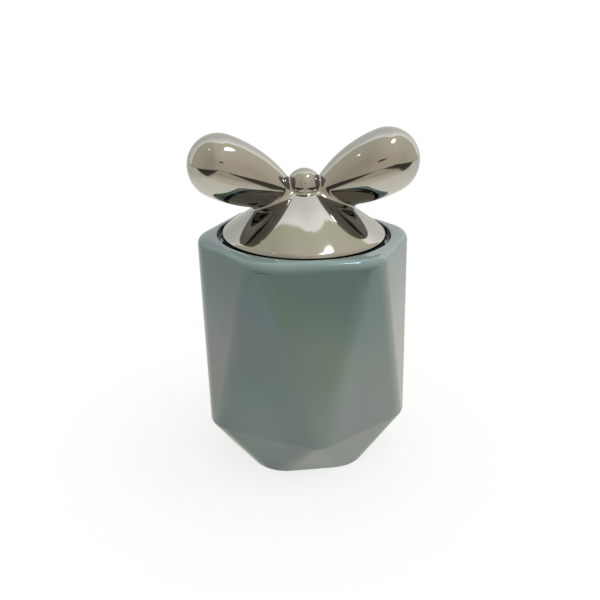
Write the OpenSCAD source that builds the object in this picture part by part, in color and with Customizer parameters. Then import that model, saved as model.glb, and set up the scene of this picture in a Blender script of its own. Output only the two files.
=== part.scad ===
// Cotton pad holder: a glazed faceted jar with an inset plated lid, lifted by a bow.
// The jar stands on z = 0, its axis is Z, and the bow runs along X.

/* [Jar] */
// Height from the table to the rim
jar_h = 108.5; // [90:0.5:140]
// Number of sides of the faceted body
sides = 6; // [5:1:8]
// Distance across the flats at the rim
rim_flats = 89.6; // [89:0.2:110]
// Radius of the body's corners at the rim
rim_corner_r = 17.5; // [8:0.5:22]
// Rounding of the rim's outer edge
rim_round = 4.2; // [1:0.1:4.2]
// Rounding of the edge round the lid's recess
mouth_round = 0.8; // [0.3:0.1:1]
// Distance across the flats of the widest part, low on the body
belly_flats = 95; // [92:0.5:116]
// Radius of the corners at the widest part
belly_corner_r = 14.6; // [8:0.2:22]
// Height of the widest part above the table
belly_h = 24.2; // [18:0.2:40]
// Rounding of the edges at the widest part
belly_round = 3; // [1:0.5:5]
// Distance across the flats of the foot
foot_flats = 74; // [72:0.5:90]
// Radius of the corners of the foot
foot_corner_r = 19; // [10:0.5:24]
// Rounding of the foot's lower edge
foot_round = 1; // [0.5:0.1:2]

/* [Well] */
// Radius of the well that holds the pads
well_r = 38.5; // [36:0.5:40]
// Thickness of the floor
floor_t = 5; // [4:0.5:9]
// Radius of the corner between floor and wall
well_corner_r = 10; // [5:0.5:14]
// Radius of the neck that the lid is centred in
neck_r = 33.5; // [31:0.5:34.5]
// Height of the neck below the lid's seat
neck_h = 5; // [3:0.5:9]
// Radius of the dished underside inside the foot ring
dish_r = 28; // [20:0.5:31]
// Depth of the dished underside
dish_d = 1.2; // [0.5:0.1:2.5]

/* [Lid] */
// Radius of the lid's outer edge
lid_r = 37.9; // [37:0.1:38.4]
// Gap between the lid's edge and the wall of its recess
lid_gap = 2; // [0.8:0.1:2.2]
// Radius of the arc that the pointed dome is turned from
dome_r = 180; // [140:5:240]
// Height above the rim of the peak that the arc points to
dome_h = 23; // [20:0.5:26]
// Radius of the flat crown, under the knot, that the dome ends in
crown_r = 5; // [3:0.5:6]
// Rounding of the lid's rolled edge
edge_r = 2.6; // [1.8:0.1:3.2]
// Depth of the centre of that rounding below the rim
edge_drop = 0.6; // [0.2:0.1:1.2]
// Thickness of the domed wall
lid_wall = 4; // [3:0.5:6]
// Play between the lid and the ledge that it rests on
seat_play = 0.1; // [0.05:0.05:0.3]
// Gap between the lid's centring ring and the jar's neck
ring_gap = 0.8; // [0.4:0.1:1.5]
// Thickness of the centring ring
ring_wall = 3; // [2:0.5:5]
// Depth of the centring ring below the seat
ring_h = 6; // [4:0.5:10]
// Rounding of the centring ring's lower edge
ring_round = 0.9; // [0.4:0.1:1]

/* [Bow] */
// Width over both loops
bow_w = 104.2; // [94:0.2:116]
// Height of the centres of the loops' full ends above the peak
loop_rise = 8.3; // [6:0.1:14]
// Radius of the loops' full ends
loop_r = 14.5; // [12:0.1:16]
// Distance from the centre of a full end back to the widest part of its flank
flank_back = 2.5; // [0:0.5:5]
// Distance from the middle of the bow to the tip of each loop's root
root_gap = 0.8; // [0.4:0.1:1.6]
// Depth of the roots' tips below the peak
root_sink = 8; // [6:0.5:9]
// Radius of the knot between the loops
knot_r = 7.9; // [7:0.1:9]
// Depth of the knot's centre below the peak
knot_sink = 1.8; // [1:0.1:2.5]

/* [Hidden] */
$fn = 96;
hull_fn = 32;
hull_edge_fn = 24;
dome_fn = 360;
flank_fn = 180;
// overshoot of cutting shapes past the faces they open
over = 1;
// where an arc ends on a ball or a roll, this stands so far proud of it that the two cross
proud = 0.03;
side_angle = 360 / sides;
glaze = [0.48, 0.56, 0.53];
plating = [0.74, 0.73, 0.69];

// The lid's edge is a circle that the arc of the dome ends on. The arc's centre lies across the
// axis: its distances from the peak and from the centre of the edge give its bearing from there.
edge_x = lid_r - edge_r;
edge_z = -edge_drop;
arc_reach = dome_r - edge_r;
peak_reach = norm([edge_x, dome_h - edge_z]);
peak_turn = acos((pow(peak_reach, 2) + pow(arc_reach, 2) - pow(dome_r, 2)) / (2 * peak_reach * arc_reach));
arc_turn = atan2(dome_h - edge_z, -edge_x) + peak_turn;
dome_x = edge_x + arc_reach * cos(arc_turn);
dome_z = edge_z + arc_reach * sin(arc_turn);
edge_touch_x = edge_x - edge_r * cos(arc_turn);
crown_z = dome_z + sqrt(pow(dome_r, 2) - pow(crown_r - dome_x, 2));
// depths below the rim of the lid's flat underside and of the jar's ledge
seat_d = edge_r - edge_z;
ledge_d = seat_d + seat_play;
recess_r = lid_r + lid_gap;
ring_r = neck_r - ring_gap;
ring_inner_r = ring_r - ring_wall;

// A loop runs from its root, under the knot, out to its full end, and its flank is the arc that
// starts at the root's tip and touches the ball of the full end from outside.
loop_x = bow_w / 2 - loop_r;
loop_z = dome_h + loop_rise;
loop_run = loop_x - root_gap;
loop_climb = loop_rise + root_sink;
loop_tilt = atan2(loop_climb, loop_run);
loop_len = norm([loop_run, loop_climb]);
flank_r = (pow(loop_len, 2) - 2 * loop_len * flank_back + pow(loop_r, 2)) / (2 * loop_r);
flank_in = sqrt(pow(flank_r - loop_r, 2) - pow(flank_back, 2));
flank_touch = loop_r * flank_back / (flank_r - loop_r);
knot_z = dome_h - knot_sink;

// One rounded corner of a ring of the body, as wide as its corner radius.
module corner_pad(corner_r, edge) {
    rotate_extrude($fn = hull_fn)
        translate([corner_r - edge, 0])
            circle(r = edge, $fn = hull_edge_fn);
}

// The corners of one many-sided ring, turned by some degrees, centred at height z.
module corner_ring(flats, corner_r, edge, z, turn) {
    reach = (flats / 2 - corner_r) / cos(side_angle / 2);
    for (k = [0:sides - 1])
        rotate([0, 0, turn + k * side_angle])
            translate([reach, 0, z])
                corner_pad(corner_r, edge);
}

// Long triangles run from the rim's sides down to the corners of the widest ring, and short ones
// run from its sides down to the corners of the foot.
module faceted_form() {
    hull() {
        corner_ring(rim_flats, rim_corner_r, rim_round, jar_h - rim_round, 0);
        corner_ring(belly_flats, belly_corner_r, belly_round, belly_h, side_angle / 2);
        corner_ring(foot_flats, foot_corner_r, foot_round, foot_round, 0);
    }
}

// Outline of the space inside the jar: well, undercut shoulder and neck.
module well_outline() {
    neck_low = jar_h - ledge_d - neck_h;
    shoulder = well_r - neck_r;
    translate([0, floor_t])
        square([well_r - well_corner_r, neck_low - floor_t]);
    translate([0, floor_t + well_corner_r])
        square([well_r, neck_low - shoulder - floor_t - well_corner_r]);
    intersection() {
        translate([well_r - well_corner_r, floor_t + well_corner_r])
            circle(r = well_corner_r);
        square([well_r, jar_h]);
    }
    polygon([
        [0, neck_low - shoulder],
        [well_r, neck_low - shoulder],
        [neck_r, neck_low],
        [0, neck_low]
    ]);
    translate([0, neck_low - over])
        square([neck_r, neck_h + 2 * over]);
}

// Outline of the recess that the lid drops into, flared at the rim by its rounded edge.
module recess_outline() {
    translate([0, jar_h - ledge_d])
        square([recess_r, ledge_d + over]);
    difference() {
        translate([0, jar_h - mouth_round])
            square([recess_r + mouth_round, mouth_round + over]);
        translate([recess_r + mouth_round, jar_h - mouth_round])
            circle(r = mouth_round);
        translate([recess_r + mouth_round, jar_h - 2 * mouth_round])
            square([mouth_round, 2 * mouth_round]);
    }
}

module jar_body() {
    color(glaze)
        difference() {
            faceted_form();
            rotate_extrude()
                well_outline();
            rotate_extrude()
                recess_outline();
            translate([0, 0, -over])
                cylinder(r = dish_r, h = dish_d + over);
        }
}

// Outline of the lid from outside, above its seat, with z = 0 at the rim.
module lid_outline() {
    intersection() {
        translate([dome_x, dome_z])
            circle(r = dome_r, $fn = dome_fn);
        translate([0, edge_z])
            square([edge_touch_x, crown_z - edge_z]);
    }
    translate([0, -seat_d])
        square([edge_x, seat_d]);
    intersection() {
        translate([edge_x, edge_z])
            circle(r = edge_r + proud);
        translate([0, -seat_d])
            square([lid_r + over, seat_d + edge_r]);
    }
}

// Outline of the centring ring below the seat, with its lower edges rounded.
module ring_outline() {
    low = -seat_d - ring_h;
    translate([ring_inner_r, low + ring_round])
        square([ring_wall, ring_h - ring_round]);
    translate([ring_inner_r + ring_round, low])
        square([ring_wall - 2 * ring_round, ring_round]);
    for (x = [ring_inner_r + ring_round, ring_r - ring_round])
        translate([x, low + ring_round])
            circle(r = ring_round);
}

// Outline of the hollow under the dome.
module hollow_outline() {
    intersection() {
        translate([dome_x, dome_z])
            circle(r = dome_r - lid_wall, $fn = dome_fn);
        translate([0, -seat_d - over])
            square([ring_inner_r, crown_z - lid_wall + seat_d + over]);
    }
}

module lid_dome() {
    color(plating)
        translate([0, 0, jar_h])
            rotate_extrude()
                union() {
                    difference() {
                        lid_outline();
                        hollow_outline();
                    }
                    ring_outline();
                }
}

// Outline of a loop beside its own axis, with the centre of its full end at the origin.
module loop_outline() {
    intersection() {
        circle(r = loop_r + proud);
        translate([0, -loop_r])
            square([2 * loop_r, 3 * loop_r]);
    }
    intersection() {
        translate([-flank_in, -flank_back])
            circle(r = flank_r, $fn = flank_fn);
        translate([0, -flank_r])
            square([2 * loop_r, flank_r + flank_touch]);
    }
}

// The drop that a loop is cut from, leaning out along +X.
module loop_drop() {
    translate([loop_x, 0, jar_h + loop_z])
        rotate([0, 90 - loop_tilt, 0])
            rotate_extrude()
                loop_outline();
}

module knot_ball() {
    translate([0, 0, jar_h + knot_z])
        sphere(r = knot_r);
}

// The solid that the bow's pieces are fitted down on to.
module dome_form() {
    translate([0, 0, jar_h])
        rotate_extrude()
            lid_outline();
}

// A loop fits the top of the dome, and runs out on it under the knot.
module bow_loop(side) {
    color(plating)
        mirror([side < 0 ? 1 : 0, 0, 0])
            difference() {
                loop_drop();
                dome_form();
            }
}

module bow_loop_left() {
    bow_loop(-1);
}

module bow_loop_right() {
    bow_loop(1);
}

// The knot is laid over the roots of both loops and the top of the dome.
module bow_knot() {
    color(plating)
        difference() {
            knot_ball();
            dome_form();
            for (side = [0, 1])
                mirror([side, 0, 0])
                    loop_drop();
        }
}

jar_body();
lid_dome();
bow_loop_left();
bow_loop_right();
bow_knot();
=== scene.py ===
"""Cotton pad holder: a pearly glazed jar and its mirror-plated lid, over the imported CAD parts."""

import math

import bpy
import numpy as np
from mathutils import Matrix, Vector


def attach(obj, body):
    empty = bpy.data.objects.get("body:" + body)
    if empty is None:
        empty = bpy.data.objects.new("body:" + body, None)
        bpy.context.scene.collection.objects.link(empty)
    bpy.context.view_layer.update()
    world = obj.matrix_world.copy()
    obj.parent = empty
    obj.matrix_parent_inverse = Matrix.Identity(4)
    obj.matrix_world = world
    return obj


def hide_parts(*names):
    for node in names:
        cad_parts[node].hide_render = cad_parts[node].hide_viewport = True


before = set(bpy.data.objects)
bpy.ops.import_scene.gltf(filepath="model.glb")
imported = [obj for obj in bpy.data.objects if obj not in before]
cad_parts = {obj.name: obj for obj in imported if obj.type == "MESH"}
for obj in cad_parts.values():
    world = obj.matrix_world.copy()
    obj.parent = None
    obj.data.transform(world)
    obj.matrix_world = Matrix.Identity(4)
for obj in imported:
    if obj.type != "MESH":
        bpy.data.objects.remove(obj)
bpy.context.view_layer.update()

MM = 0.001  # in metres

# Sizes of the CAD parts, in millimetres
SIDES = 6
JAR_H = 108.5
RINGS = (  # flats, corner radius, edge radius, height of the edge's centre, turn in degrees
    (74.0, 19.0, 1.0, 1.0, 0.0),
    (95.0, 14.6, 3.0, 24.2, 30.0),
    (89.6, 17.5, 4.2, 104.3, 0.0),
)
MOUTH_R = 40.55
MOUTH_ROUND = 0.8
WELL_R = 38.5
FLOOR_T = 5.0
WELL_CORNER = 10.0
NECK_R = 33.5
NECK_H = 5.0
DISH_R = 28.0
DISH_D = 1.2
LID_R = 37.9
RECESS_R = 39.9
DOME_R = 180.0
DOME_H = 23.0
CROWN_R = 5.0
EDGE_R = 2.6
EDGE_DROP = 0.6
LID_WALL = 4.0
SEAT_PLAY = 0.1
RING_OUT = 32.7
RING_IN = 29.7
RING_H = 6.0
RING_ROUND = 0.9
LOOP_X = 37.6
FLANK_BACK = 2.5
ROOT_X = 0.8
ROOT_Z = 15.0
KNOT_R = 7.9
KNOT_Z = 21.2

# The arc of the dome runs from its peak to the rolled edge, round a centre across the axis.
# Heights of the lid and the bow are counted from the rim of the jar.
EDGE_X = LID_R - EDGE_R
EDGE_Z = -EDGE_DROP
ARC_REACH = DOME_R - EDGE_R
PEAK_REACH = math.hypot(EDGE_X, DOME_H - EDGE_Z)
ARC_TURN = math.atan2(DOME_H - EDGE_Z, -EDGE_X) + math.acos(
    (PEAK_REACH**2 + ARC_REACH**2 - DOME_R**2) / (2 * PEAK_REACH * ARC_REACH)
)
DOME_X = EDGE_X + ARC_REACH * math.cos(ARC_TURN)
DOME_Z = EDGE_Z + ARC_REACH * math.sin(ARC_TURN)
CROWN_Z = DOME_Z + math.sqrt(DOME_R**2 - (CROWN_R - DOME_X) ** 2)
CEILING_Z = CROWN_Z - LID_WALL
SEAT_D = EDGE_R - EDGE_Z
LEDGE_D = SEAT_D + SEAT_PLAY

# Looks of the castings that the CAD parts leave out: soft corners, and a right loop a little fuller
FOOT_IN = DISH_R + 0.6  # where the flat of the foot ring begins
CORNER_SOFT = 0.7  # of the ledge and the neck
RING_SOFT = 0.5  # where the ring leaves the lid's seat
FILLET = 3.4
KNOT_FILLET = 0.9
LOOP_ENDS = {-1: (14.0, 30.7), 1: (14.65, 31.6)}  # radius and height of the full end on each side

# Meshes of the turned pieces
JAR_COLUMNS = 96  # in one sixth of a turn
JAR_BANDS = ((1, 20, 17), (20, 29, 19), (29, 100, 61), (100, 104.3, 7))  # from, to, rows
LID_COLUMNS = 288
DISH_STEPS = (0.35, 0.7, 0.94)
BARE_EDGE_ROWS = 3  # rows of the jar's outside that the bare foot takes in
FAN_START, FAN_END, FAN_STEP = -70, 130, 0.25  # directions tried round one sixth, in degrees
FAN_REACH = 1.2  # how far to the side a direction still counts, in radians
FAR = 1e9

# Nets round the bow, in millimetres: the box that a net covers, the size of its cells, how far
# inside the edge of its fillet it is cut, and how far its rim then runs down
LOOP_BOX = ((-5.0, -18.0, 0.0), (56.0, 18.0, 50.0))  # on the right side
LOOP_CELL, LOOP_CUT, LOOP_SINK = 0.75, 0.04, 0.5
LOOP_HEART = (14.0, 0.0, ROOT_Z - 3.0)  # where the underside meets, on the right side
KNOT_BOX = ((-11.0, -11.0, KNOT_Z - 9.5), (11.0, 11.0, KNOT_Z + 9.5))
KNOT_CELL, KNOT_CUT, KNOT_SINK = 0.4, 0.02, 0.3
KNOT_HEART = (0.0, 0.0, ROOT_Z)

# Where the glaze changes on the jar, and where painted shade darkens its upper part and the recess beside
# the lid, as heights and distances from the axis in metres
UPPER_SHADE_HEIGHTS = (0.060, 0.092)
RIM_HEIGHTS = (0.1035, 0.1075)
RECESS_SHADE_HEIGHTS = (0.1040, 0.1048)
RECESS_SHADE_REACHES = (0.0401, 0.0407)
FILM_NM = (178.0, 214.0)

# Studio, in metres. What the room and the table give is dimmed for a second and third reflection.
# A surface counts a first reflection as a ray depth of one, and the world counts it as two.
ROOM_LEVEL = 0.75
LATER_BOUNCE = 0.38
SURFACE_DEPTH = 1.0
WORLD_DEPTH = 2.0
FLOOR_SIZE = 12.0
GLOW_SIZE = 6.0
GLOW_LIFT = 0.0003
LAMP_AIM = Vector((0, 0, 0.08))
CARD_AIM = Vector((0, 0, 0.13))
WHITE = (1.0, 1.0, 1.0, 1.0)
CARD_LIGHT = (1.0, 0.985, 0.95, 1.0)

# Camera, fitted to the photograph: degrees, metres, and pixels of its frame
CAMERA_TURN = -8.24
CAMERA_LIFT = 25.93
CAMERA_ROLL = 0.4
CAMERA_DISTANCE = 0.3292
CAMERA_AIM = Vector((0, 0, 0.0543))
CAMERA_SHIFT = (-0.0053, 0.0607)
FOCAL_PX = 658.4
FRAME_PX = 600.0
SENSOR_MM = 36.0


def arc(cx, cz, r, start, end, steps):
    """Points (radius, height) on an arc, with angles in degrees from the outward direction."""
    turns = np.radians(np.linspace(start, end, steps))
    return [(cx + r * math.cos(t), cz + r * math.sin(t)) for t in turns]


def quarter(steps):
    """Angles from nothing to a right angle."""
    return np.linspace(0, math.pi / 2, steps)


def link(obj):
    bpy.context.scene.collection.objects.link(obj)
    return obj


def new_mesh(name, verts, faces, normals=None):
    """A smooth-shaded object from vertices in millimetres, with its own normals if given."""
    mesh = bpy.data.meshes.new(name)
    mesh.from_pydata((np.asarray(verts) * MM).tolist(), [], faces)
    mesh.validate()
    mesh.update()
    mesh.shade_smooth()
    if normals is not None:
        mesh.normals_split_custom_set_from_vertices(np.asarray(normals).tolist())
    return link(bpy.data.objects.new(name, mesh))


def turned_piece(name, rows, start_z, end_z, flip=False):
    """A closed piece from rows round the axis, each (radii, height), with a point on it at both ends."""
    n = len(rows[0][0])
    theta = np.arange(n) * (2 * math.pi) / n
    verts = [(0.0, 0.0, start_z)]
    for radii, z in rows:
        verts += list(zip(radii * np.cos(theta), radii * np.sin(theta), np.full(n, z)))
    verts.append((0.0, 0.0, end_z))
    last = 1 + (len(rows) - 1) * n
    faces = []
    for j in range(n):
        k = (j + 1) % n
        faces.append((0, 1 + k, 1 + j))
        for a in range(1, last, n):
            faces.append((a + j, a + k, a + n + k, a + n + j))
        faces.append((last + j, last + k, last + n))
    if flip:
        faces = [(face[0], *face[:0:-1]) for face in faces]
    return new_mesh(name, verts, faces)


def hull_outline(phi, z):
    """Reach of the jar's outside at height z in each direction phi, and how it changes with height.

    In one direction each ring of the hull shows as a small circle, the section of its rounded edge.
    The outside is these circles and the straight lines that touch two of them.
    """
    side = 360 / SIDES
    circles = []
    for flats, corner_r, edge, ring_z, turn in RINGS:
        off = np.radians((np.degrees(phi) - turn + side / 2) % side - side / 2)
        centre = (flats / 2 - corner_r) / math.cos(math.pi / SIDES) * np.cos(off)
        circles.append((centre + corner_r - edge, ring_z, edge))
    best = np.full(phi.shape, -FAR)
    slope = np.zeros(phi.shape)
    for low, high in ((0, 1), (1, 2), (0, 2)):
        (c0, z0, e0), (c1, z1, e1) = circles[low], circles[high]
        span = np.hypot(c1 - c0, z1 - z0)
        tilt = np.arctan2(z1 - z0, c1 - c0) - np.arccos((e0 - e1) / span)
        x0, y0 = c0 + e0 * np.cos(tilt), z0 + e0 * np.sin(tilt)
        x1, y1 = c1 + e1 * np.cos(tilt), z1 + e1 * np.sin(tilt)
        reach = x0 + (z - y0) * (x1 - x0) / (y1 - y0)
        rate = -np.tan(tilt)
        for c, zc, e, beyond in ((c0, z0, e0, z < y0), (c1, z1, e1, z > y1)):
            up = np.clip((z - zc) / e, -1, 1)
            out = np.sqrt(1 - up**2)
            round_reach = np.where(abs(z - zc) <= e + 1e-6, c + e * out, -FAR)
            reach = np.where(beyond, round_reach, reach)
            rate = np.where(beyond, -up / np.maximum(out, 1e-4), rate)
        slope = np.where(reach > best, rate, slope)
        best = np.maximum(best, reach)
    return best, slope


def jar_row(z):
    """Radii and normals of the jar's outside in one sixth of a turn, for one height.

    From above, the outside is what lies inside the lines at hull_outline's reach in all directions,
    so the radius is the distance to the nearest of these lines.
    """
    theta = np.arange(JAR_COLUMNS) * (2 * math.pi / SIDES) / JAR_COLUMNS
    step = math.radians(FAN_STEP)
    phi = np.arange(round(FAN_START / FAN_STEP), round(FAN_END / FAN_STEP) + 1) * step
    reach, slope = hull_outline(phi, z)
    gap = phi[None, :] - theta[:, None]
    cast = np.where(abs(gap) < FAN_REACH, reach[None, :] / np.maximum(np.cos(gap), 0.1), FAR)
    k = cast.argmin(1)
    rows = np.arange(JAR_COLUMNS)
    before, here, after = cast[rows, k - 1], cast[rows, k], cast[rows, k + 1]
    bend = before - 2 * here + after
    nudge = np.clip(0.5 * (before - after) / np.maximum(bend, 1e-12), -0.5, 0.5)
    facing = phi[k] + nudge * step
    rate = np.interp(facing, phi, slope)
    normal = np.stack([np.cos(facing), np.sin(facing), -rate], 1)
    normal /= np.linalg.norm(normal, axis=1, keepdims=True)
    return here, normal


def turned_sixths(radii, normals):
    """Radii and normals round the whole jar from one sixth of it."""
    turned = []
    for k in range(SIDES):
        angle = k * 2 * math.pi / SIDES
        c, s = math.cos(angle), math.sin(angle)
        turned.append(normals @ np.array([[c, s, 0], [-s, c, 0], [0, 0, 1]]))
    return np.tile(radii, SIDES), np.concatenate(turned)


def jar_heights():
    """Heights of the rows up the jar's outside, closer together over its edges."""
    foot_edge = RINGS[0][2]
    rim_edge, rim_z = RINGS[2][2:4]
    heights = [foot_edge * (1 - math.cos(t)) for t in quarter(6)]
    for low, high, count in JAR_BANDS:
        heights += list(np.linspace(low, high, count))[1:]
    return heights + [rim_z + rim_edge * math.sin(t) for t in quarter(15)][1:]


def jar_underside(start):
    """Radii and heights from the dished underside over its soft edge and out along the foot ring."""
    path = [(DISH_R * f, DISH_D) for f in DISH_STEPS]
    path += [(DISH_R - 0.5, DISH_D - 0.1), (DISH_R - 0.1, DISH_D / 2), (DISH_R + 0.3, 0.05), (FOOT_IN, 0)]
    return path + [(FOOT_IN * (1 - f) + start * f, 0.0) for f in (0.3, 0.65)]


def jar_inside():
    """Radii and heights from the mouth down the recess, the ledge, the neck and the well.

    The points close beside a soft corner keep the shading of the flats even.
    """
    width = MOUTH_R - RECESS_R
    ledge = JAR_H - LEDGE_D
    neck_low = ledge - NECK_H
    shoulder = neck_low - (WELL_R - NECK_R)
    well_corner_z = FLOOR_T + WELL_CORNER
    path = [(MOUTH_R - width * math.sin(t), JAR_H - MOUTH_ROUND * (1 - math.cos(t))) for t in quarter(8)]
    path += [(RECESS_R, ledge + 2 * CORNER_SOFT)]
    path += arc(RECESS_R - CORNER_SOFT, ledge + CORNER_SOFT, CORNER_SOFT, 0, -90, 6)
    path += [(NECK_R + 3.5, ledge)]
    path += arc(NECK_R + CORNER_SOFT, ledge - CORNER_SOFT, CORNER_SOFT, 90, 180, 6)
    path += [(NECK_R, neck_low + 1.0)]
    path += arc(NECK_R + CORNER_SOFT, neck_low + 0.3, CORNER_SOFT, 180, 225, 4)
    path += [(NECK_R + 2.5, neck_low - 2.5)]
    path += [(WELL_R - 1.0, shoulder + 1.0), (WELL_R - 0.2, shoulder - 0.2)]
    path += [(WELL_R, z) for z in np.linspace(shoulder - 2, well_corner_z, 14)]
    path += arc(WELL_R - WELL_CORNER, well_corner_z, WELL_CORNER, 0, -90, 12)[1:]
    return path + [(20.0, FLOOR_T), (10.0, FLOOR_T)]


def build_jar():
    """The jar with its glaze, and a bare foot where it stood in the kiln."""
    heights = jar_heights()
    outside = [turned_sixths(*jar_row(z)) for z in heights]
    start, top = outside[0][0], outside[-1][0]
    n = len(top)
    upward = np.tile([0, 0, 1.0], (n, 1))

    rows = [(r, z, None) for r, z in jar_underside(start)]
    bare_rows = range(len(DISH_STEPS), len(rows) + BARE_EDGE_ROWS)
    rows += [(radii, z, normals) for (radii, normals), z in zip(outside, heights)]
    rows += [(top * (1 - f) + MOUTH_R * f, JAR_H, upward) for f in (0.25, 0.5, 0.75)]
    rows += [(r, z, None) for r, z in jar_inside()]

    obj = turned_piece("glazed_jar", [(np.full(n, r), z) for r, z, _ in rows], DISH_D, FLOOR_T)
    normals = np.array([v.normal for v in obj.data.vertices])
    for i, (_, _, own) in enumerate(rows):
        if own is not None:
            normals[1 + i * n : 1 + (i + 1) * n] = own
    obj.data.normals_split_custom_set_from_vertices(normals.tolist())
    bare = range(1 + bare_rows.start * n, 1 + bare_rows.stop * n)
    for face in obj.data.polygons:
        if all(v in bare for v in face.vertices):
            face.material_index = 1
    return obj


def lid_outline():
    """Radii and heights from the axis over the dome, edge, seat and centring ring to the hollow.

    The points close beside a soft corner keep the shading of the flats even.
    """
    touch = math.degrees(ARC_TURN) - 180
    top = math.degrees(math.acos((CROWN_R - DOME_X) / DOME_R))
    low = -SEAT_D - RING_H
    inside_r = DOME_R - LID_WALL
    meet = math.degrees(math.acos((RING_IN - DOME_X) / inside_r))
    meet_z = DOME_Z + inside_r * math.sin(math.radians(meet))
    crest = math.degrees(math.asin((CEILING_Z - DOME_Z) / inside_r))
    path = [(CROWN_R * f, CROWN_Z) for f in (0.3, 0.6, 0.9)]
    path += arc(DOME_X, DOME_Z, DOME_R, top, touch, 70)
    path += arc(EDGE_X, EDGE_Z, EDGE_R, touch, -90, 22)[1:]
    path += [(RING_OUT + 1.6, -SEAT_D), (RING_OUT + RING_SOFT, -SEAT_D)]
    path += arc(RING_OUT + RING_SOFT, -SEAT_D - RING_SOFT, RING_SOFT, 90, 180, 5)[1:]
    path += [(RING_OUT, low + 2.5)]
    path += arc(RING_OUT - RING_ROUND, low + RING_ROUND, RING_ROUND, 0, -90, 7)
    path += arc(RING_IN + RING_ROUND, low + RING_ROUND, RING_ROUND, -90, -180, 7)
    path += [(RING_IN, meet_z - 3.0), (RING_IN, meet_z - 1.2), (RING_IN - 0.15, meet_z - 0.6)]
    path += arc(DOME_X, DOME_Z, inside_r, meet + 0.3, crest, 30)
    return path + [(path[-1][0] * f, CEILING_Z) for f in (0.7, 0.35)]


def build_lid():
    rows = [(np.full(LID_COLUMNS, r), JAR_H + z) for r, z in lid_outline()]
    return turned_piece("plated_dome", rows, JAR_H + CROWN_Z, JAR_H + CEILING_Z, flip=True)


def drop_distance(p, side):
    """Distance of points to a loop: a ball at its full end, drawn out along arcs to its root."""
    radius, height = LOOP_ENDS[side]
    climb = height - ROOT_Z
    run = LOOP_X - ROOT_X
    tilt = math.atan2(climb, run)
    length = math.hypot(run, climb)
    flank = (length**2 - 2 * length * FLANK_BACK + radius**2) / (2 * radius)
    flank_in = math.sqrt((flank - radius) ** 2 - FLANK_BACK**2)
    x = p[:, 0] * side - LOOP_X
    z = p[:, 2] - height
    along = x * math.cos(tilt) + z * math.sin(tilt)
    off = np.sqrt((x * math.sin(tilt) - z * math.cos(tilt)) ** 2 + p[:, 1] ** 2)
    ball = np.hypot(along, off) - radius
    sleeve = np.hypot(along + FLANK_BACK, off + flank_in) - flank
    past_ball = off * FLANK_BACK - along * flank_in
    return np.where(past_ball > 0, sleeve, ball)


def dome_distance(p):
    return np.hypot(np.hypot(p[:, 0], p[:, 1]) - DOME_X, p[:, 2] - DOME_Z) - DOME_R


def melt(a, b, width):
    """Two distances joined with a soft fillet, as wide as width on both sides of the corner."""
    near = np.maximum(width - abs(a - b), 0) / width
    return np.minimum(a, b) - near**2 * width / 4


def loop_field(p, side):
    return melt(drop_distance(p, side), dome_distance(p), FILLET)


def knot_distance(p):
    return np.sqrt(p[:, 0] ** 2 + p[:, 1] ** 2 + (p[:, 2] - KNOT_Z) ** 2) - KNOT_R


def knot_field(p):
    base = np.minimum(loop_field(p, 1), loop_field(p, -1))
    return melt(knot_distance(p), base, KNOT_FILLET)


def gradient(field, p):
    step = 0.004
    grad = np.empty_like(p)
    for axis in range(3):
        off = np.zeros(3)
        off[axis] = step
        grad[:, axis] = (field(p + off) - field(p - off)) / (2 * step)
    return grad


def settle(field, p, rounds=4):
    """Moves points on to the surface where the field is zero."""
    for _ in range(rounds):
        grad = gradient(field, p)
        p = p - (field(p) / np.maximum((grad**2).sum(1), 1e-6))[:, None] * grad
    return p


def net(field, low, high, cell):
    """Four-sided faces wrapped round the region where the field is negative."""
    axes = [np.arange(a, b + cell, cell) for a, b in zip(low, high)]
    grid = np.stack(np.meshgrid(*axes, indexing="ij"), -1)
    shape = grid.shape[:3]
    value = field(grid.reshape(-1, 3)).reshape(shape)
    cells = tuple(n - 1 for n in shape)
    total = np.zeros(cells + (3,))
    count = np.zeros(cells)
    crossings = []
    for axis in range(3):
        order = (axis, (axis + 1) % 3, (axis + 2) % 3)
        v = value.transpose(order)
        place = grid.transpose(order + (3,))
        cross = (v[:-1] < 0) != (v[1:] < 0)
        share = v[:-1] / np.where(cross, v[:-1] - v[1:], 1)
        point = place[:-1] + share[..., None] * (place[1:] - place[:-1])
        into, tally = total.transpose(order + (3,)), count.transpose(order)
        _, wide, deep = cross.shape
        for db in (0, 1):
            for dc in (0, 1):
                window = np.s_[:, db : wide - 1 + db, dc : deep - 1 + dc]
                into += np.where(cross[window][..., None], point[window], 0)
                tally += cross[window]
        crossings.append((order, cross, v[:-1] < 0))
    used = count > 0
    index = np.full(cells, -1)
    index[used] = np.arange(used.sum())
    verts = total[used] / count[used][:, None]
    quads = []
    for order, cross, low_inside in crossings:
        idx = index.transpose(order)
        i, j, k = np.nonzero(cross[:, 1:-1, 1:-1])
        j, k = j + 1, k + 1
        quad = np.stack([idx[i, j - 1, k - 1], idx[i, j, k - 1], idx[i, j, k], idx[i, j - 1, k]], 1)
        flip = ~low_inside[i, j, k]
        quad[flip] = quad[flip][:, ::-1]
        quads.append(quad)
    return verts, np.concatenate(quads)


def relax(field, verts, quads, rounds=6):
    """Evens out the spacing of the points while they stay on the surface."""
    edges = np.concatenate([quads[:, [a, (a + 1) % 4]] for a in range(4)])
    edges = np.concatenate([edges, edges[:, ::-1]])
    for _ in range(rounds):
        mean = np.zeros_like(verts)
        tally = np.zeros(len(verts))
        np.add.at(mean, edges[:, 0], verts[edges[:, 1]])
        np.add.at(tally, edges[:, 0], 1)
        mean /= np.maximum(tally, 1)[:, None]
        verts = settle(field, verts + 0.5 * (mean - verts), 2)
    return verts


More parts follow.
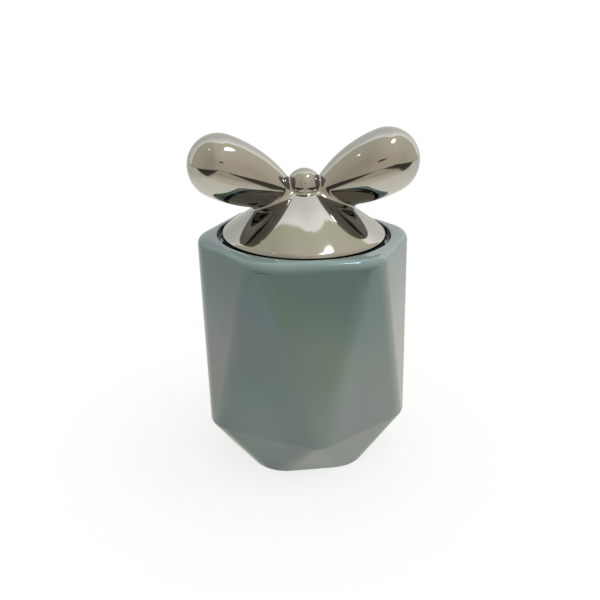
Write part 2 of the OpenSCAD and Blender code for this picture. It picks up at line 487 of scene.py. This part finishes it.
def clipped(field, keep, verts, quads):
    """Triangles of the part of a surface where keep is positive, cut cleanly along its edge."""
    tris = np.concatenate([quads[:, [0, 1, 2]], quads[:, [0, 2, 3]]])
    value = keep(verts)
    inside = value > 0
    whole = inside[tris].all(1)
    faces = tris[whole].tolist()
    points = verts.tolist()
    made = {}

    def cut(a, b):
        key = (min(a, b), max(a, b))
        if key not in made:
            f = value[a] / (value[a] - value[b])
            made[key] = len(points)
            points.append((verts[a] + f * (verts[b] - verts[a])).tolist())
        return made[key]

    for tri in tris[inside[tris].any(1) & ~whole].tolist():
        ring = []
        for n in range(3):
            a, b = tri[n], tri[(n + 1) % 3]
            if inside[a]:
                ring.append(a)
            if inside[a] != inside[b]:
                ring.append(cut(a, b))
        faces += [[ring[0], ring[n], ring[n + 1]] for n in range(1, len(ring) - 1)]
    points = np.array(points)
    rim = np.array(sorted(made.values()))
    for _ in range(4):
        edge = points[rim]
        grad = gradient(keep, edge)
        edge = edge - (keep(edge) / (grad**2).sum(1))[:, None] * grad
        points[rim] = settle(field, edge, 1)
    kept = np.unique(np.array(faces))
    renumber = np.full(len(points), -1)
    renumber[kept] = np.arange(len(kept))
    return points[kept], [[int(renumber[v]) for v in f] for f in faces]


def open_edge(faces):
    """The rim of an open surface as one ring of points, in the order of its faces' edges."""
    edges = dict.fromkeys((f[n], f[(n + 1) % len(f)]) for f in faces for n in range(len(f)))
    following = {a: b for a, b in edges if (b, a) not in edges}
    start = next(iter(following))
    ring = [start]
    while following[ring[-1]] != start:
        ring.append(following[ring[-1]])
    return ring


def cast_piece(name, field, keep, low, high, cell, sink, heart):
    """A closed piece with the field's surface where keep is positive.

    Its rim runs down by sink into what the piece sits on, and the faces under it meet in heart.
    """
    verts, quads = net(field, low, high, cell)
    verts = relax(field, settle(field, verts), quads)
    verts, faces = clipped(field, keep, verts, quads)
    normals = gradient(field, verts)
    normals /= np.linalg.norm(normals, axis=1, keepdims=True)
    ring = open_edge(faces)
    count = len(verts)
    lowered = verts[ring] - normals[ring] * sink
    verts = np.concatenate([verts, lowered, [heart]])
    normals = np.concatenate([normals, normals[ring], [[0, 0, -1.0]]])
    for n, a in enumerate(ring):
        m = (n + 1) % len(ring)
        faces.append([ring[m], a, count + n, count + m])
        faces.append([count + m, count + n, count + len(ring)])
    verts[:, 2] += JAR_H
    return new_mesh(name, verts, faces, normals)


def build_loop(name, side):
    """The drop of one side of the bow with its fillet on the dome: side 1 is right, side -1 left."""
    (inner, *low), (outer, *high) = LOOP_BOX
    left, right = sorted((side * inner, side * outer))
    heart_x, *heart = LOOP_HEART
    return cast_piece(
        name,
        field=lambda p: loop_field(p, side),
        keep=lambda p: FILLET - LOOP_CUT - drop_distance(p, side),
        low=(left, *low),
        high=(right, *high),
        cell=LOOP_CELL,
        sink=LOOP_SINK,
        heart=(side * heart_x, *heart),
    )


def build_knot():
    low, high = KNOT_BOX
    return cast_piece(
        "plated_knot",
        field=knot_field,
        keep=lambda p: KNOT_FILLET - KNOT_CUT - knot_distance(p),
        low=low,
        high=high,
        cell=KNOT_CELL,
        sink=KNOT_SINK,
        heart=KNOT_HEART,
    )


def node(tree, kind, **settings):
    made = tree.nodes.new(kind)
    for key, value in settings.items():
        setattr(made, key, value)
    return made


def feed(tree, into, value):
    """Links an output to an input, or sets the input where the value is a number or a colour."""
    if isinstance(value, bpy.types.NodeSocket):
        tree.links.new(value, into)
    else:
        into.default_value = value


def maths(tree, operation, *terms):
    made = node(tree, "ShaderNodeMath", operation=operation)
    for into, term in zip(made.inputs, terms):
        feed(tree, into, term)
    return made.outputs["Value"]


def scaled(tree, vector, factor):
    made = node(tree, "ShaderNodeVectorMath", operation="SCALE")
    feed(tree, made.inputs[0], vector)
    feed(tree, made.inputs["Scale"], factor)
    return made.outputs["Vector"]


def stretched(tree, vector, factors):
    """A vector with each part multiplied by its own factor."""
    made = node(tree, "ShaderNodeVectorMath", operation="MULTIPLY")
    feed(tree, made.inputs[0], vector)
    made.inputs[1].default_value = factors
    return made.outputs["Vector"]


def length_of(tree, vector):
    made = node(tree, "ShaderNodeVectorMath", operation="LENGTH")
    feed(tree, made.inputs[0], vector)
    return made.outputs["Value"]


def parts_of(tree, vector):
    made = node(tree, "ShaderNodeSeparateXYZ")
    feed(tree, made.inputs["Vector"], vector)
    return made.outputs["X"], made.outputs["Y"], made.outputs["Z"]


def noise(tree, coords, scale, detail=2.0, rough=0.5, warp=0.0):
    made = node(tree, "ShaderNodeTexNoise")
    for key, value in (("Scale", scale), ("Detail", detail), ("Roughness", rough), ("Distortion", warp)):
        made.inputs[key].default_value = value
    feed(tree, made.inputs["Vector"], coords)
    return made.outputs["Fac"]


def ramp(tree, factor, stops, interpolation="EASE"):
    """A colour ramp. The stops are (place, colour)."""
    made = node(tree, "ShaderNodeValToRGB")
    elements = made.color_ramp.elements
    made.color_ramp.interpolation = interpolation
    while len(elements) < len(stops):
        elements.new(0.5)
    for element, (place, colour) in zip(elements, stops):
        element.position = place
        element.color = (*colour, 1.0)
    feed(tree, made.inputs["Fac"], factor)
    return made.outputs["Color"]


def blend(tree, factor, a, b, kind="MIX"):
    """Colour a turning into colour b, or into both multiplied, as the factor goes from 0 to 1."""
    made = node(tree, "ShaderNodeMix", data_type="RGBA", blend_type=kind)
    factor_in, a_in, b_in = made.inputs[0], made.inputs[6], made.inputs[7]
    feed(tree, factor_in, factor)
    feed(tree, a_in, a)
    feed(tree, b_in, b)
    return made.outputs[2]


def tinted(tree, a, b):
    return blend(tree, 1.0, a, b, "MULTIPLY")


def to_range(tree, value, low, high, new_low=0.0, new_high=1.0, smooth=False):
    made = node(tree, "ShaderNodeMapRange")
    if smooth:
        made.interpolation_type = "SMOOTHSTEP"
    limits = (("From Min", low), ("From Max", high), ("To Min", new_low), ("To Max", new_high))
    for key, limit in limits:
        made.inputs[key].default_value = limit
    feed(tree, made.inputs["Value"], value)
    return made.outputs["Result"]


def step_up(tree, value, low, high):
    return to_range(tree, value, low, high, smooth=True)


def light_path(tree, output):
    return node(tree, "ShaderNodeLightPath").outputs[output]


def mixed(tree, factor, a, b):
    """Shader a turning into shader b as the factor goes from 0 to 1."""
    made = node(tree, "ShaderNodeMixShader")
    feed(tree, made.inputs["Fac"], factor)
    tree.links.new(a, made.inputs[1])
    tree.links.new(b, made.inputs[2])
    return made.outputs["Shader"]


def bumps(tree, coords, layers, shader):
    """Bump layers (noise scale, depth in metres, detail) one on top of another."""
    normal = None
    for scale, depth, detail in layers:
        bump = node(tree, "ShaderNodeBump")
        bump.inputs["Strength"].default_value = 1.0
        bump.inputs["Distance"].default_value = depth
        feed(tree, bump.inputs["Height"], noise(tree, coords, scale, detail))
        if normal is not None:
            feed(tree, bump.inputs["Normal"], normal)
        normal = bump.outputs["Normal"]
    feed(tree, shader.inputs["Normal"], normal)


def new_material(name):
    """A material with its node tree, its shader, and coordinates on the object in metres."""
    mat = bpy.data.materials.new(name)
    mat.use_nodes = True
    tree = mat.node_tree
    coords = node(tree, "ShaderNodeTexCoord").outputs["Object"]
    return mat, tree, tree.nodes["Principled BSDF"], coords


def finish_surface(tree, shader_out):
    feed(tree, tree.nodes["Material Output"].inputs["Surface"], shader_out)


def glaze_material():
    """Cloudy pearly glaze: thin over the rim, with painted shade over the upper part and in the recess
    beside the lid where the glaze pools, and finely specked.
    """
    mat, tree, shader, coords = new_material("pearl_glaze")
    _, _, height = parts_of(tree, coords)
    reach = length_of(tree, stretched(tree, coords, (1, 1, 0)))
    cloud = noise(tree, coords, 22.0, rough=0.45, warp=0.6)
    tone = ramp(tree, cloud, (
        (0.30, (0.176, 0.226, 0.160)),
        (0.50, (0.204, 0.230, 0.174)),
        (0.70, (0.228, 0.240, 0.196)),
    ))
    # Painted shade: the upper part of the jar darker and cooler
    upper_painted_shade = ramp(tree, cloud, ((0.3, (0.138, 0.204, 0.174)), (0.7, (0.158, 0.210, 0.182))))
    thin = ramp(tree, cloud, ((0.3, (0.215, 0.290, 0.272)), (0.7, (0.232, 0.294, 0.282))))
    # Painted shade in the recess beside the lid, nearly black, over the darker glaze pooled there
    recess_painted_shade = ramp(tree, cloud, ((0.3, (0.010, 0.024, 0.028)), (0.7, (0.016, 0.030, 0.034))))
    fleck = ramp(tree, cloud, ((0.0, (0.05, 0.07, 0.06)), (1.0, (0.07, 0.07, 0.06))))

    # Where the painted shade lies: the recess wall and ledge inside the mouth
    inside = to_range(tree, reach, *RECESS_SHADE_REACHES, 1.0, 0.0, True)
    recess = maths(tree, "MULTIPLY", inside, step_up(tree, height, *RECESS_SHADE_HEIGHTS))
    specks = node(tree, "ShaderNodeTexVoronoi")
    specks.inputs["Scale"].default_value = 160.0
    feed(tree, specks.inputs["Vector"], coords)
    dots = to_range(tree, specks.outputs["Distance"], 0.035, 0.055, 0.22, 0.0)

    # Painted shade over the upper part of the jar
    shaded = blend(tree, step_up(tree, height, *UPPER_SHADE_HEIGHTS), tone, upper_painted_shade)
    rimmed = blend(tree, step_up(tree, height, *RIM_HEIGHTS), shaded, thin)
    # Painted shade laid into the recess beside the lid
    recess_shaded = blend(tree, recess, rimmed, recess_painted_shade)
    feed(tree, shader.inputs["Base Color"], blend(tree, dots, recess_shaded, fleck))

    haze = noise(tree, coords, 60.0, detail=3.0)
    flow = noise(tree, coords, 16.0, warp=0.8)
    feed(tree, shader.inputs["Roughness"], to_range(tree, haze, 0.3, 0.7, 0.035, 0.075))
    feed(tree, shader.inputs["Thin Film Thickness"], to_range(tree, flow, 0.3, 0.7, *FILM_NM))
    shader.inputs["Thin Film IOR"].default_value = 1.8
    shader.inputs["IOR"].default_value = 1.6
    shader.inputs["Coat Weight"].default_value = 0.5
    shader.inputs["Coat Roughness"].default_value = 0.02
    shader.inputs["Coat IOR"].default_value = 1.5
    bumps(tree, coords, ((28.0, 0.00035, 1.0), (240.0, 0.000012, 2.0)), shader)
    return mat


def bisque_material():
    """Dull fired clay, for the foot ring that has no glaze."""
    mat, tree, shader, coords = new_material("bare_foot")
    grain = noise(tree, coords, 900.0, detail=4.0, rough=0.6)
    tone = ramp(tree, grain, ((0.3, (0.56, 0.53, 0.48)), (0.7, (0.72, 0.70, 0.65))))
    feed(tree, shader.inputs["Base Color"], tone)
    feed(tree, shader.inputs["Roughness"], to_range(tree, grain, 0.3, 0.7, 0.75, 0.92))
    bumps(tree, coords, ((1500.0, 0.00003, 3.0),), shader)
    return mat


def plating_material():
    """Mirror plating, a little warm and cloudy, over the faint waves of the casting."""
    mat, tree, shader, coords = new_material("mirror_plating")
    cloud = noise(tree, coords, 35.0, detail=3.0)
    haze = noise(tree, coords, 120.0, detail=4.0, rough=0.6)
    tone = ramp(tree, cloud, (
        (0.30, (0.560, 0.550, 0.526)),
        (0.55, (0.580, 0.572, 0.552)),
        (0.75, (0.552, 0.536, 0.510)),
    ))
    feed(tree, shader.inputs["Base Color"], tone)
    feed(tree, shader.inputs["Roughness"], to_range(tree, haze, 0.35, 0.75, 0.035, 0.075))
    shader.inputs["Metallic"].default_value = 1.0
    bumps(tree, coords, ((70.0, 0.00003, 1.0),), shader)
    return mat


def flat_sheet(name, width, depth, z=0.0):
    """A rectangle of the studio, in metres round the axis."""
    x, y = width / 2, depth / 2
    mesh = bpy.data.meshes.new(name)
    mesh.from_pydata([(-x, -y, z), (x, -y, z), (x, y, z), (-x, y, z)], [], [(0, 1, 2, 3)])
    obj = link(bpy.data.objects.new(name, mesh))
    return obj


def for_reflections_only(card):
    card.visible_camera = False
    card.visible_diffuse = False
    card.visible_shadow = False
    card.visible_transmission = False


def build_floor():
    """A pale floor that, for the camera, turns into plain white a little way from the jar."""
    floor = flat_sheet("floor", FLOOR_SIZE, FLOOR_SIZE)
    mat, tree, shader, coords = new_material("pale_floor")
    grain = noise(tree, coords, 3.0)
    tone = ramp(tree, grain, ((0.3, (0.80, 0.80, 0.80)), (0.7, (0.83, 0.83, 0.825))))
    feed(tree, shader.inputs["Base Color"], tone)
    shader.inputs["Roughness"].default_value = 0.9
    shader.inputs["Specular IOR Level"].default_value = 0.1
    away = to_range(tree, length_of(tree, coords), 0.05, 0.15, 0.82, 1.0, True)
    seen = maths(tree, "MULTIPLY", away, light_path(tree, "Is Camera Ray"))
    glow = node(tree, "ShaderNodeEmission").outputs["Emission"]
    finish_surface(tree, mixed(tree, seen, shader.outputs["BSDF"], glow))
    floor.data.materials.append(mat)


def later_dimmed(tree, colour, first_depth):
    """Dims what is seen after a second or third reflection, as the photograph's plating does."""
    past_first = maths(tree, "SUBTRACT", light_path(tree, "Ray Depth"), first_depth)
    later = maths(tree, "MAXIMUM", past_first, 0.0)
    return scaled(tree, colour, maths(tree, "POWER", LATER_BOUNCE, later))


def build_table_glow():
    """What the plating and the glaze see of the table.

    It is lighter to the right and behind and dim in front, with a dark corner on each side and a
    faint shade round the foot.
    """
    card = flat_sheet("table_glow", GLOW_SIZE, GLOW_SIZE, GLOW_LIFT)
    mat, tree, shader, coords = new_material("table_glow")
    tree.nodes.remove(shader)
    x, y, _ = parts_of(tree, coords)
    front = ramp(tree, to_range(tree, y, -0.8, 0.3), (
        (0.0, (0.68, 0.61, 0.49)),
        (0.28, (0.62, 0.55, 0.45)),
        (0.50, (0.88, 0.81, 0.68)),
        (0.62, (1.13, 1.08, 0.96)),
        (0.80, (1.16, 1.13, 1.03)),
        (1.0, (1.05, 1.03, 0.96)),
    ))
    side = ramp(tree, to_range(tree, x, -0.4, 0.4), (
        (0.0, (0.74, 0.74, 0.72)),
        (0.30, (0.96, 0.96, 0.95)),
        (0.62, (1.0, 1.0, 1.0)),
        (1.0, (0.86, 0.86, 0.86)),
    ))
    wide = step_up(tree, maths(tree, "ABSOLUTE", x), 0.17, 0.32)
    ahead = to_range(tree, y, -0.26, -0.19, 0.8, 0.0, True)
    gloom = maths(tree, "MULTIPLY", wide, ahead)
    dusk = ramp(tree, gloom, ((0.0, (1.0, 1.0, 1.0)), (1.0, (0.05, 0.05, 0.05))))
    near = to_range(tree, length_of(tree, coords), 0.04, 0.09)
    foot = ramp(tree, near, ((0.0, (0.86, 0.93, 0.89)), (1.0, (1.0, 1.0, 1.0))))
    table = tinted(tree, tinted(tree, tinted(tree, front, side), dusk), foot)
    emit = node(tree, "ShaderNodeEmission")
    emit.inputs["Strength"].default_value = ROOM_LEVEL
    feed(tree, emit.inputs["Color"], later_dimmed(tree, table, SURFACE_DEPTH))
    finish_surface(tree, emit.outputs["Emission"])
    card.data.materials.append(mat)
    for_reflections_only(card)


def build_room():
    """Soft studio surroundings: a white sweep behind and overhead, a dimmer warm room in front."""
    world = bpy.data.worlds.new("studio")
    bpy.context.scene.world = world
    world.use_nodes = True
    tree = world.node_tree
    coords = node(tree, "ShaderNodeTexCoord").outputs["Generated"]
    x, y, _ = parts_of(tree, coords)
    ripple = to_range(tree, noise(tree, coords, 5.0), 0.3, 0.7, -0.015, 0.015)
    aside = maths(tree, "ABSOLUTE", maths(tree, "SUBTRACT", x, 0.1))
    brow = to_range(tree, aside, 0.0, 0.65, 0.0, -0.17, True)
    rippled = maths(tree, "ADD", to_range(tree, y, -1.0, 1.0), ripple)
    sweep = ramp(tree, maths(tree, "ADD", rippled, brow), (
        (0.00, (0.72, 0.63, 0.50)),
        (0.13, (0.82, 0.74, 0.61)),
        (0.30, (0.86, 0.79, 0.66)),
        (0.46, (0.87, 0.83, 0.67)),
        (0.543, (0.84, 0.84, 0.60)),
        (0.557, (1.58, 1.56, 1.50)),
        (0.64, (1.20, 1.19, 1.12)),
        (0.80, (0.90, 0.90, 0.84)),
        (1.00, (0.84, 0.85, 0.81)),
    ), "LINEAR")
    sides = ramp(tree, to_range(tree, x, -1.0, 1.0), (
        (0.0, (0.76, 0.77, 0.76)),
        (0.30, (0.80, 0.81, 0.80)),
        (0.45, (0.97, 0.97, 0.97)),
        (0.66, (1.05, 1.05, 1.05)),
        (1.0, (0.92, 0.91, 0.90)),
    ))
    room = scaled(tree, later_dimmed(tree, tinted(tree, sweep, sides), WORLD_DEPTH), ROOM_LEVEL)
    seen = blend(tree, light_path(tree, "Is Camera Ray"), room, WHITE)
    feed(tree, tree.nodes["Background"].inputs["Color"], seen)


def turn_outward(obj, outward):
    """Turns a lamp or a card so that it shines the other way, towards the object."""
    obj.rotation_mode = "QUATERNION"
    obj.rotation_quaternion = outward.to_track_quat("Z", "Y")


def soft_lamp(name, direction, distance, size, power):
    """An area lamp for the glaze and the floor, which no reflection shows."""
    light = bpy.data.lights.new(name, "AREA")
    light.shape = "RECTANGLE"
    light.size, light.size_y = size
    light.energy = power
    obj = link(bpy.data.objects.new(name, light))
    outward = Vector(direction).normalized()
    obj.location = LAMP_AIM + outward * distance
    turn_outward(obj, outward)
    obj.visible_glossy = False


def studio_card(name, place, size, brightness, core):
    """A soft-edged bright or dark panel for reflections, full in its core and clear at its edge."""
    width, height = size
    card = flat_sheet(name, width, height)
    card.location = place
    turn_outward(card, Vector(place) - CARD_AIM)
    mat, tree, shader, coords = new_material(name)
    tree.nodes.remove(shader)
    reach = length_of(tree, stretched(tree, coords, (2 / width, 2 / height, 0)))
    emit = node(tree, "ShaderNodeEmission")
    emit.inputs["Color"].default_value = CARD_LIGHT
    emit.inputs["Strength"].default_value = brightness
    clear = node(tree, "ShaderNodeBsdfTransparent").outputs["BSDF"]
    fade = to_range(tree, reach, core, 1.0, 1.0, 0.0, True)
    finish_surface(tree, mixed(tree, fade, clear, emit.outputs["Emission"]))
    card.data.materials.append(mat)
    for_reflections_only(card)


def build_lights():
    soft_lamp("overhead_soft", direction=(0.15, 0.1, 1.0), distance=1.1, size=(1.2, 1.2), power=8.0)
    soft_lamp("side_fill", direction=(0.9, -0.1, 0.45), distance=1.0, size=(0.5, 0.7), power=3.0)
    studio_card("softbox", place=(0.106, -0.072, 0.46), size=(0.15, 0.060), brightness=12.0, core=0.1)
    studio_card("far_lamp", place=(-0.25, -0.09, 0.55), size=(0.035, 0.035), brightness=4.0, core=0.3)
    studio_card("dark_panel", place=(0.0, -0.36, 0.30), size=(0.10, 0.05), brightness=0.04, core=0.4)


def build_camera():
    """The photograph's viewpoint: a little to the left, 26 degrees down and slightly rolled."""
    azimuth = math.radians(CAMERA_TURN)
    elevation = math.radians(CAMERA_LIFT)
    away = Vector((
        math.sin(azimuth) * math.cos(elevation),
        -math.cos(azimuth) * math.cos(elevation),
        math.sin(elevation),
    ))
    data = bpy.data.cameras.new("camera")
    data.sensor_width = SENSOR_MM
    data.lens = SENSOR_MM * FOCAL_PX / FRAME_PX
    data.shift_x, data.shift_y = CAMERA_SHIFT
    data.clip_start = 0.01
    data.clip_end = 50.0
    obj = link(bpy.data.objects.new("camera", data))
    obj.location = CAMERA_AIM + away * CAMERA_DISTANCE
    obj.rotation_mode = "QUATERNION"
    roll = Matrix.Rotation(math.radians(CAMERA_ROLL), 3, "Z").to_quaternion()
    obj.rotation_quaternion = (-away).to_track_quat("-Z", "Y") @ roll
    bpy.context.scene.camera = obj


def dress(obj, body, slot, nodes, *materials):
    for material in materials:
        obj.data.materials.append(material)
    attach(obj, body)
    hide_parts(*nodes)


glaze = glaze_material()
bisque = bisque_material()
plating = plating_material()
dress(build_jar(), "jar", "glaze", ["jar_body"], glaze, bisque)
dress(build_lid(), "lid", "plating", ["lid_dome"], plating)
dress(build_loop("plated_loop_left", -1), "lid", "plating", ["bow_loop_left"], plating)
dress(build_loop("plated_loop_right", 1), "lid", "plating", ["bow_loop_right"], plating)
dress(build_knot(), "lid", "plating", ["bow_knot"], plating)

build_floor()
build_table_glow()
build_room()
build_lights()
build_camera()
bpy.context.scene.view_settings.view_transform = "Standard"
